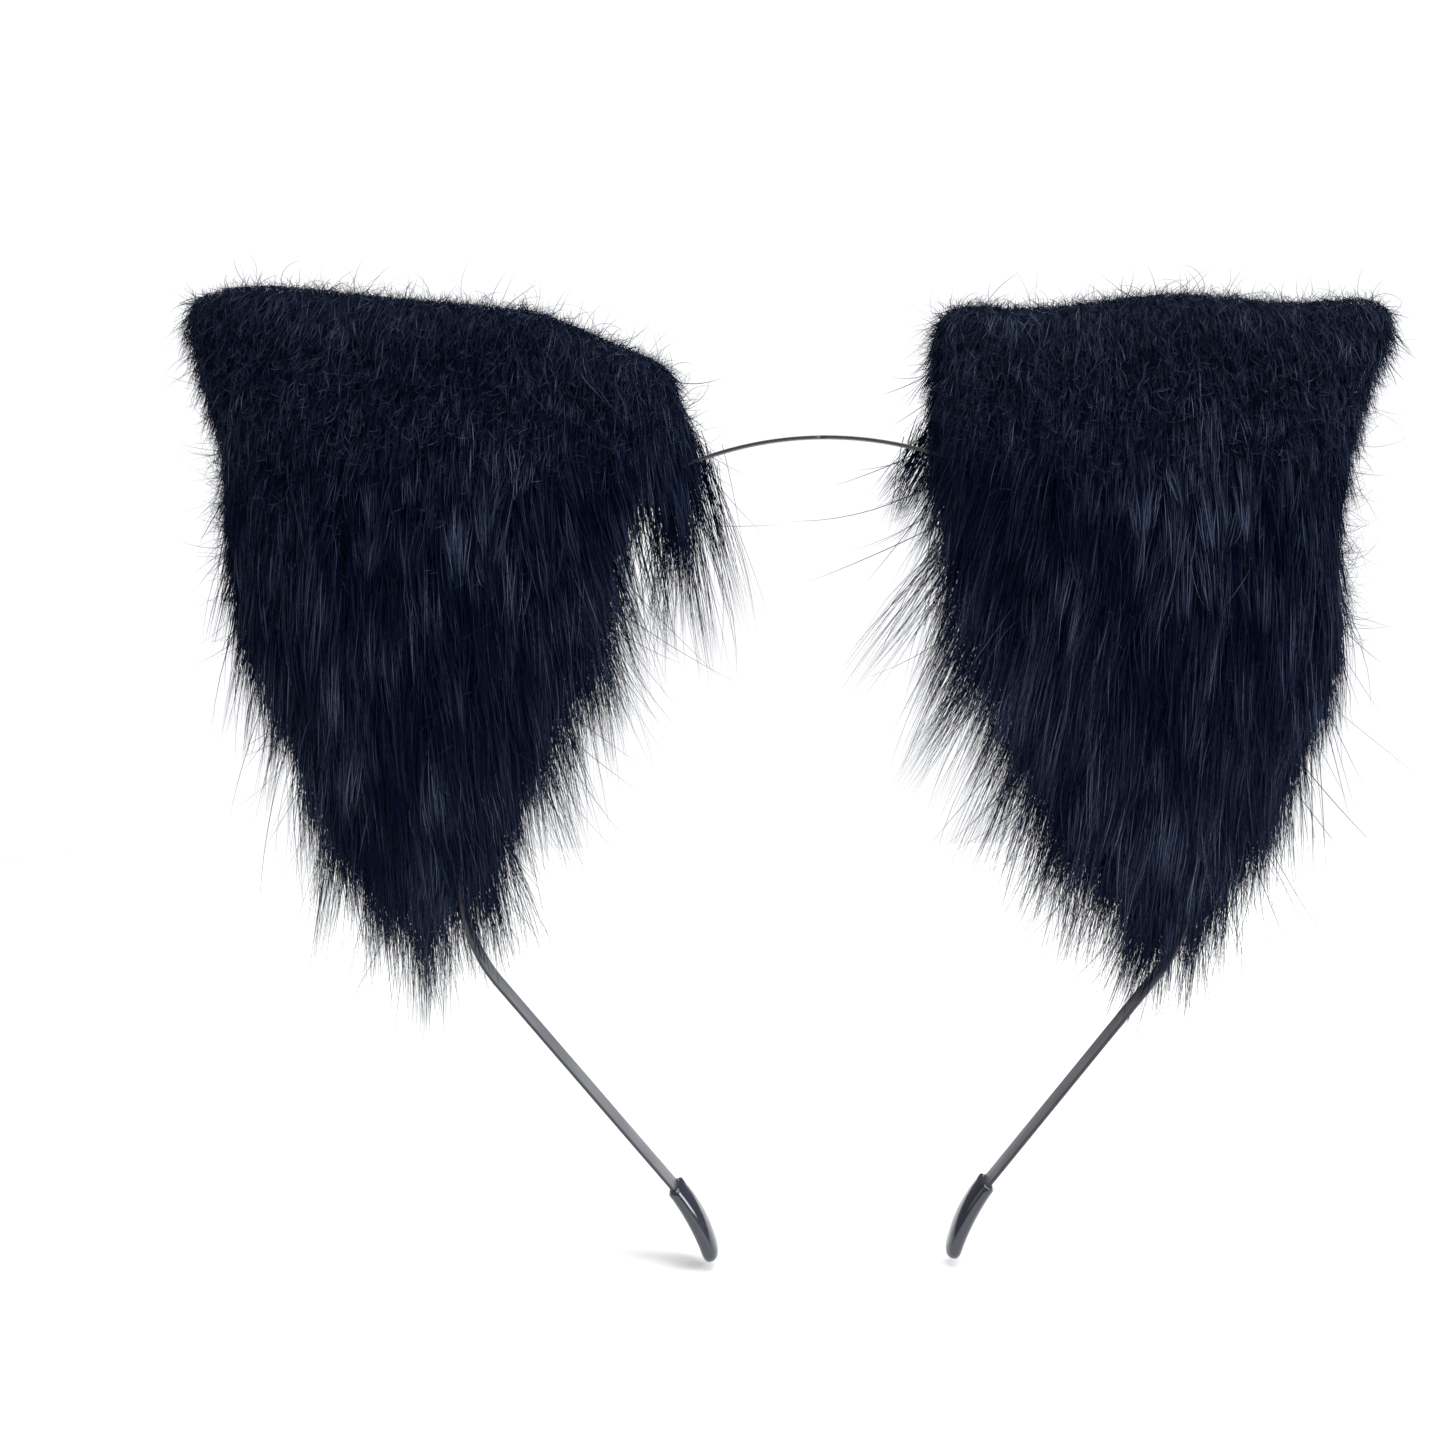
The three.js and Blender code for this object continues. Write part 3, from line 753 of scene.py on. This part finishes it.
def nap(name, side, outline, seed, face, count, finish):
    """Short woolly fibres that curl in every direction, over the top of the ear and down its outer side."""
    rng = np.random.default_rng(seed)
    roots = roots_in(outline, rng, count * 3, 0.25)
    x, z = roots.T
    woolly = np.maximum(between(-16, 6, z), 0.85 * between(86, 98, x) * between(-45, -25, z))
    roots = roots[rng.uniform(0, 1, len(roots)) < np.maximum(woolly, 0.12)][:count]
    steps = 5
    share = np.linspace(0, 1, steps + 1)[None]
    angle = rng.normal(-math.pi / 2, 1.1, (len(roots), 1)) + rng.uniform(-2.2, 2.2, (len(roots), 1)) * share
    length = rng.uniform(1.8, 5.5, len(roots)) * (0.7 + 0.5 * (rng.uniform(0, 1, len(roots)) > 0.9))
    rise = 0.3 + rng.uniform(0.4, 2.6, (len(roots), 1)) * share**0.7
    lines = curled(outline, roots, angle, length, rise, face)
    shade = rng.uniform(0, 1, len(roots))
    return ribbons(f"{name}_{side}", side, lines, rng.uniform(0.06, 0.11, len(roots)), shade, rng, finish)


def curled(outline, roots, angle, length, rise, face):
    """Lines that leave each root at the given angles, one a step, and stand off the pelt by rise."""
    step = length[:, None] / (angle.shape[1] - 1)
    nothing = np.zeros((len(roots), 1))
    x = roots[:, :1] + np.concatenate([nothing, np.cumsum(np.cos(angle[:, 1:]) * step, axis=1)], axis=1)
    z = roots[:, 1:] + np.concatenate([nothing, np.cumsum(np.sin(angle[:, 1:]) * step, axis=1)], axis=1)
    depth = outline.depth(np.stack([x, z], axis=-1))
    for k in range(1, depth.shape[1]):
        depth[:, k] = np.maximum(depth[:, k], depth[:, k - 1] - 0.3 * step[:, 0])
    return np.stack([x, face * (depth + rise), z], axis=-1)


# The tuft where the strip leaves each ear at the top: its place, its number of locks, its lean in degrees
# and its length
TUFT = {"left": ((23.5, -1.0), 10, -28.0, 13.0), "right": ((27.4, -5.0), 17, -8.0, 30.0)}


def fringe(side, outline, seed, count, clump_count, finish):
    """Long separate locks that hang past the lower and inner edges, and one tuft where the strip leaves the
    ear: each hair is drawn to its lock's middle hair, and the locks point down and away from the ear."""
    rng = np.random.default_rng(seed)
    place, tuft_locks, tuft_lean, tuft_length = TUFT[side]
    edge = fringe_roots(outline, rng, clump_count)
    tuft = np.array(place) + rng.normal(0, 1.0, (tuft_locks, 2)) * np.array([2.6, 1.4])
    clumps = np.concatenate([edge, tuft])
    lean = np.concatenate([hair_lean(side, *edge.T) * 1.25, np.full(tuft_locks, math.radians(tuft_lean))])
    lean += rng.normal(0, 0.16, len(clumps))
    reach = np.concatenate([15.0 + 0.75 * hair_length(*edge.T), np.full(tuft_locks, tuft_length)])
    reach *= rng.uniform(0.6, 1.35, len(clumps))
    face = np.where(rng.uniform(0, 1, len(clumps)) < 0.6, -1.0, 1.0)
    rise = rng.uniform(0.5, 2.5, len(clumps))
    clump_lines = route(outline, clumps, lean, reach, rise, face[:, None], 9, 0.2)
    own = rng.integers(0, len(clumps), count)
    roots = clumps[own] + rng.normal(0, 1.7, (count, 2))
    length = reach[own] * rng.uniform(0.5, 1.08, count)
    own_lean = lean[own] + rng.normal(0, 0.12, count)
    lines = route(outline, roots, own_lean, length, rng.uniform(0.3, 3.0, count), face[own][:, None], 9, 0.2)
    share = np.linspace(0, 1, lines.shape[1])[None, :, None] ** 1.2
    pull = rng.uniform(0.2, 0.85, count)[:, None, None]
    lines = lines + (clump_lines[own] - lines) * share * pull
    shade = 0.3 * rng.uniform(0, 1, len(clumps))[own] + 0.6 * rng.uniform(0, 1, count)
    width = rng.uniform(0.10, 0.17, count)
    return ribbons(f"fringe_{side}", side, lines, width, shade, rng, finish)


def fringe_roots(outline, rng, count):
    """Places near the outline's edge, only where the hair hangs free: along the inner side and the base."""
    roots = roots_in(outline, rng, count * 6, 1.0)
    x, z = roots.T
    inner = between(72, 42, x) * between(4, -14, z)
    outer = between(-34, -58, z)
    return roots[rng.uniform(0, 1, len(roots)) < np.maximum(inner, outer)][:count]


def curly_fuzz(side, outline, seed, count, finish):
    """Curly pile that stands off the edge of the ear: short and thick along the top, longer and looser
    down the outer side, with a few long hairs among it."""
    rng = np.random.default_rng(seed)
    place = rng.integers(0, len(outline.edge), count * 3)
    edge = outline.edge[place]
    outer = between(80, 95, edge[:, 0]) * between(12, -2, edge[:, 1]) * between(-60, -40, edge[:, 1])
    top = np.clip(between(-40, 20, edge[:, 1]), 0.12, 1) * (0.4 + 0.6 * between(100, 70, edge[:, 0]))
    wanted = np.maximum(top, 0.55 * outer)
    keep = rng.uniform(0, 1, len(edge)) < wanted
    place, edge, outer = place[keep][:count], edge[keep][:count], outer[keep][:count]
    after = outline.edge[(place + 3) % len(outline.edge)]
    away = np.stack([edge[:, 1] - after[:, 1], after[:, 0] - edge[:, 0]], axis=-1)
    away /= np.linalg.norm(away, axis=1, keepdims=True) + 1e-9
    away *= np.sign(((edge - PELT_CENTRE) * away).sum(axis=1, keepdims=True))
    start = edge - away * rng.uniform(0.3, 2.5, (len(edge), 1))
    steps = 7
    share = np.linspace(0, 1, steps + 1)[None]
    droop = np.arctan2(away[:, 1], away[:, 0]) * (1 - 0.45 * outer) - math.pi / 2 * 0.45 * outer
    angle = (droop + rng.normal(0, 0.75, len(edge)))[:, None]
    angle = angle + rng.uniform(-2.4, 2.4, (len(edge), 1)) * share
    chance = rng.uniform(0, 1, len(edge))
    length = rng.uniform(1.0, 3.6, len(edge)) * rng.uniform(0.5, 1.2, len(edge)) * (1 + 1.1 * outer)
    length += (chance > 0.965 - 0.12 * outer) * rng.uniform(2, 7, len(edge))
    lines = curled(outline, start, angle, length, 0.3 * share, 1.0)
    lines[..., 1] *= rng.uniform(-1, 1, (len(edge), 1))
    shade = 0.8 * rng.uniform(0, 1, len(edge))
    width = rng.uniform(0.06, 0.11, len(edge))
    return ribbons(f"edge_fuzz_{side}", side, lines, width, shade, rng, finish)


def strays(side, outline, seed, count, finish):
    """Single long hairs that have come away from the coat, bowed and pointing more widely: they hang out
    from the sides, the highest are shorter, and a third of them are the longest, along the base and the
    inner side."""
    rng = np.random.default_rng(seed)
    roots = np.concatenate([roots_in(outline, rng, count, 0.8), fringe_roots(outline, rng, count // 2)])
    longest = np.arange(len(roots)) >= count
    outer = between(78, 100, roots[:, 0])
    lean = hair_lean(side, *roots.T) * 1.35 + rng.normal(0, 0.28, len(roots)) + 0.2 * outer
    high = between(-12, 8, roots[:, 1])
    length = np.maximum(hair_length(*roots.T), 15) * rng.uniform(0.7, 1.4, len(roots)) * (1 - 0.35 * high)
    length = np.where(longest, rng.uniform(18, 38, len(roots)), length)
    length *= 1 - 0.4 * outer
    face = np.where(rng.uniform(0, 1, len(roots)) < 0.6, -1.0, 1.0)[:, None]
    bow = rng.uniform(-0.8, 0.8, (len(roots), 1))
    lines = route(outline, roots, lean, length, rng.uniform(1, 5, len(roots)), face, 10, bow)
    shade = rng.uniform(0, 0.9, len(roots))
    width = rng.uniform(0.12, 0.18, len(roots))
    return ribbons(f"stray_hair_{side}", side, lines, width, shade, rng, finish)


# ---- camera, floor and light ----------------------------------------------------------------------
def aim_camera():
    """The camera looks straight at the face of the ears, from a little below the top of the strip."""
    distance, height = 0.317, -0.010
    scene = bpy.context.scene
    data = bpy.data.cameras.new("camera")
    data.sensor_width = 36.0
    data.lens = 43.45
    data.shift_x = -0.0687
    data.shift_y = -0.1581
    data.clip_start, data.clip_end = 0.01, 20.0
    camera = bpy.data.objects.new("camera", data)
    camera.location = (0.0, -distance, height)
    roll = math.radians(0.77)
    camera.rotation_mode = "XYZ"
    camera.rotation_euler = (math.pi / 2, roll, 0.0)
    scene.collection.objects.link(camera)
    scene.camera = camera


def lay_floor():
    """A plain pale floor under the tips."""
    half, drop = 0.38, 0.0015
    low = float(cad_box[0][2]) - drop
    points = np.array([[-half, -half, low], [half, -half, low], [half, half, low], [-half, half, low]]) / MM
    floor = new_mesh("floor", points, [np.array([[0, 1, 2, 3]])])
    pale = Finish("pale_floor", Base_Color=(0.95, 0.955, 0.96, 1.0), Roughness=0.9, Specular_IOR_Level=0.1)
    pale.feed(Emission_Color=(1.0, 1.0, 1.0, 1.0), Emission_Strength=0.17)
    floor.data.materials.append(pale.material)


def add_light(name, place, size, power):
    """A soft square lamp that faces the middle of the object."""
    lamp = bpy.data.lights.new(name, "AREA")
    lamp.shape, lamp.size, lamp.energy = "SQUARE", size, power
    thing = bpy.data.objects.new(name, lamp)
    thing.location = place
    away = np.array(place) - np.array([0.0, 0.0, -0.05])
    across = math.hypot(away[0], away[1])
    thing.rotation_euler = (math.atan2(across, away[2]), 0.0, math.atan2(away[0], -away[1]))
    bpy.context.scene.collection.objects.link(thing)


def light_studio():
    """A white room: bright behind, and soft lamps above and beside."""
    world = bpy.data.worlds.new("white_room")
    bpy.context.scene.world = world
    world.use_nodes = True
    nodes, links = world.node_tree.nodes, world.node_tree.links
    background = nodes["Background"]
    path = nodes.new("ShaderNodeLightPath")
    level = nodes.new("ShaderNodeMapRange")
    level.inputs["To Min"].default_value = 0.17
    level.inputs["To Max"].default_value = 1.05
    links.new(path.outputs["Is Camera Ray"], level.inputs["Value"])
    links.new(level.outputs[0], background.inputs["Strength"])
    background.inputs["Color"].default_value = (0.98, 0.985, 1.0, 1.0)
    add_light("key", (0.16, -0.16, 0.75), 0.9, 11.0)
    add_light("left_fill", (-0.7, -0.35, 0.3), 0.5, 0.7)
    add_light("right_fill", (0.75, -0.4, 0.3), 0.5, 8.3)
    bpy.context.scene.view_settings.view_transform = "Standard"


# ---- making it all --------------------------------------------------------------------------------
aim_camera()
light_studio()
lay_floor()

steel = enamelled_steel()
vinyl = dipped_vinyl()
felt = black_felt()
thread = sewing_thread()
backing = pelt_backing()
# the tip colours are partly painted highlight: the light fibres stand for glints on the strands as well as
# their own tone
guard = fur_fibre("guard_fibre", (0.0003, 0.0013, 0.0115), (0.108, 0.134, 0.215), 0.38, 5.0)
under = fur_fibre("under_fibre", (0.0003, 0.0012, 0.0100), (0.016, 0.028, 0.070), 0.55, 4.0)
woolly = fur_fibre("woolly_fibre", (0.0004, 0.0015, 0.0110), (0.088, 0.113, 0.19), 0.6, 3.5)
wire = drawn_wire()

GUARD = {"pull": 0.8, "width": (0.09, 0.17), "lift": 3.6, "scale": 1.0, "spread": 0.13, "steps": 6}
UNDER = {"pull": 0.5, "width": (0.16, 0.26), "lift": 1.8, "scale": 0.72, "spread": 0.16, "steps": 4}

for order, side in enumerate(SIDES):
    make_strip(side, steel)
    make_cap(side, vinyl)
    shape = Outline(side)
    make_pelt(side, shape, backing)
    make_ear_core(side, felt)
    make_sleeve(side, felt, thread)
    make_wire_and_seam(side, wire, thread)
    seed = 100 * (order + 1)
    coat("guard_hair_front", side, shape, seed + 1, -1.0, 17500, 520, guard, **GUARD)
    coat("under_hair_front", side, shape, seed + 2, -1.0, 16000, 700, under, **UNDER)
    coat("guard_hair_back", side, shape, seed + 3, 1.0, 9800, 440, guard, **GUARD)
    coat("under_hair_back", side, shape, seed + 4, 1.0, 9400, 560, under, **UNDER)
    nap("nap_front", side, shape, seed + 8, -1.0, 15000, woolly)
    nap("nap_back", side, shape, seed + 9, 1.0, 6500, woolly)
    curly_fuzz(side, shape, seed + 5, 8500, woolly)
    strays(side, shape, seed + 6, 850, guard)
    fringe(side, shape, seed + 7, 6500, 190, guard)
